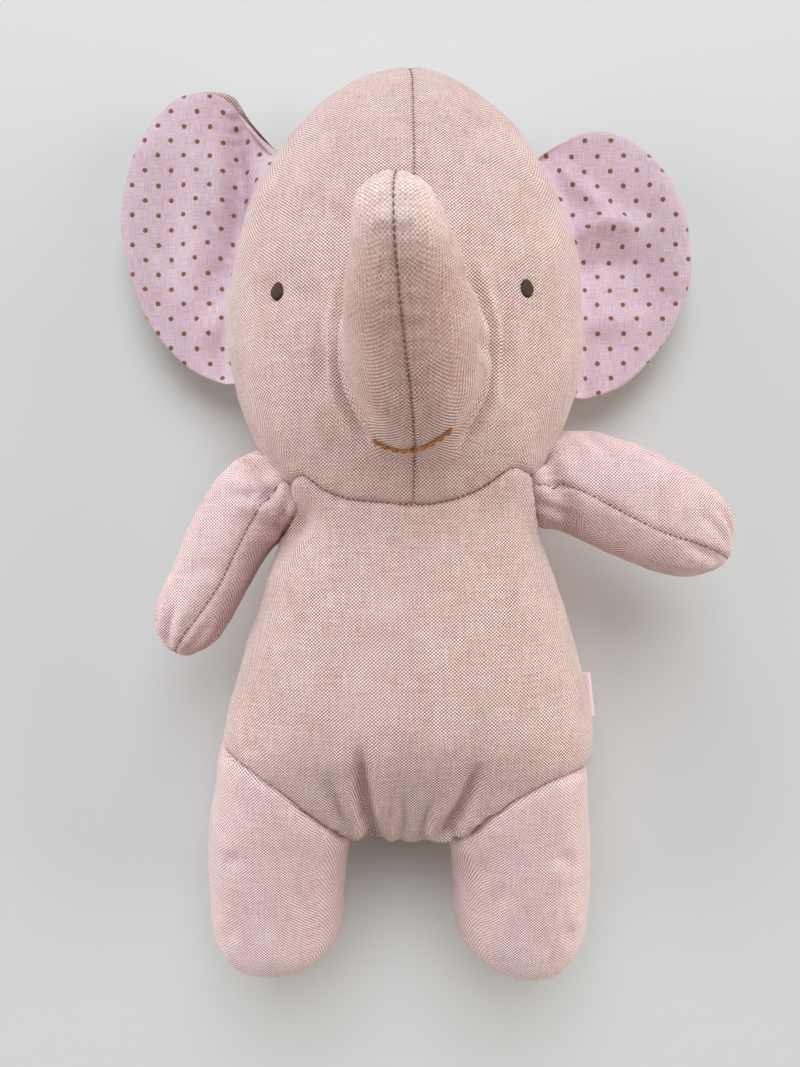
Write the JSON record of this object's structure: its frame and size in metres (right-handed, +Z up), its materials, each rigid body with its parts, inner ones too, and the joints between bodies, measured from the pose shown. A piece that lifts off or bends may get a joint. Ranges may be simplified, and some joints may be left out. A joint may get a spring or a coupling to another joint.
{
  "type": "stuffed elephant",
  "caption": "Soft stuffed elephant doll of pink linen with a raised trunk, large dotted ears, stub arms and legs and embroidered face, lying on its back.",
  "frame": {"origin": "under the middle of the toy as it lies on its back, on the surface it lies on", "axes": "+Z up out of the face, +Y towards the crown of the head, +X towards the elephant's own left side"},
  "size_m": [0.2305, 0.3445, 0.1609],
  "materials": {
    "linen": "plain-weave dusty pink linen, matt, with fine slubs",
    "ear_cotton": "fine pale pink cotton printed with small brown dots",
    "stuffing": "white polyester fibre filling",
    "brown_thread": "dark brown embroidery thread, satin stitch",
    "rust_thread": "rust brown embroidery thread, back stitch",
    "tag_ribbon": "pale pink woven ribbon, blank"
  },
  "bodies": {
    "torso": {"torso_front_panel": "linen", "torso_back_left_panel": "linen", "torso_back_right_panel": "linen", "torso_stuffing": "stuffing", "side_tag": "tag_ribbon", "neck_tack_stitch": "rust_thread"},
    "head": {"head_left_panel": "linen", "head_right_panel": "linen", "head_stuffing": "stuffing", "eye_left": "brown_thread", "eye_right": "brown_thread", "mouth_stitch": "rust_thread"},
    "trunk": {"trunk_left_panel": "linen", "trunk_right_panel": "linen", "trunk_stuffing": "stuffing"},
    "ear_left": {"ear_left_front": "ear_cotton", "ear_left_back": "linen"},
    "ear_right": {"ear_right_front": "ear_cotton", "ear_right_back": "linen"},
    "arm_left": {"arm_left_upper_panel": "linen", "arm_left_lower_panel": "linen", "arm_left_stuffing": "stuffing"},
    "arm_right": {"arm_right_upper_panel": "linen", "arm_right_lower_panel": "linen", "arm_right_stuffing": "stuffing"},
    "leg_left": {"leg_left_front_panel": "linen", "leg_left_back_panel": "linen", "leg_left_stuffing": "stuffing"},
    "leg_right": {"leg_right_front_panel": "linen", "leg_right_back_panel": "linen", "leg_right_stuffing": "stuffing"}
  },
  "joints": [
    {"name": "neck_nod", "type": "hinge", "parent": "torso", "child": "head", "pos_m": [0, 0.028, 0.045], "axis": [1, 0, 0], "range_deg": [-10, 12], "stiffness_Nm_per_rad": 0.8},
    {"name": "trunk_bend", "type": "hinge", "parent": "head", "child": "trunk", "pos_m": [0.002, 0.049, 0.092], "axis": [1, 0, 0], "range_deg": [-15, 15], "stiffness_Nm_per_rad": 0.08},
    {"name": "ear_left_flap", "type": "hinge", "parent": "head", "child": "ear_left", "pos_m": [0.0571, 0.0966, 0.033], "axis": [0.1313, -0.9913, 0], "range_deg": [-20, 20], "stiffness_Nm_per_rad": 0.04},
    {"name": "ear_right_flap", "type": "hinge", "parent": "head", "child": "ear_right", "pos_m": [-0.056, 0.1013, 0.033], "axis": [0.1633, 0.9866, 0], "range_deg": [-20, 20], "stiffness_Nm_per_rad": 0.04},
    {"name": "shoulder_left_swing", "type": "hinge", "parent": "torso", "child": "arm_left", "pos_m": [0.0375, 0.012, 0.05], "axis": [0, 0, 1], "range_deg": [-38, 0], "stiffness_Nm_per_rad": 0.1},
    {"name": "shoulder_right_swing", "type": "hinge", "parent": "torso", "child": "arm_right", "pos_m": [-0.0375, 0.012, 0.05], "axis": [0, 0, -1], "range_deg": [0, 38], "stiffness_Nm_per_rad": 0.1},
    {"name": "hip_left_fold", "type": "hinge", "parent": "torso", "child": "leg_left", "pos_m": [0.043, -0.091, 0.044], "axis": [-1, 0, 0], "range_deg": [-5, 40], "stiffness_Nm_per_rad": 0.4},
    {"name": "hip_right_fold", "type": "hinge", "parent": "torso", "child": "leg_right", "pos_m": [-0.0465, -0.091, 0.044], "axis": [-1, 0, 0], "range_deg": [-5, 40], "stiffness_Nm_per_rad": 0.4}
  ]
}
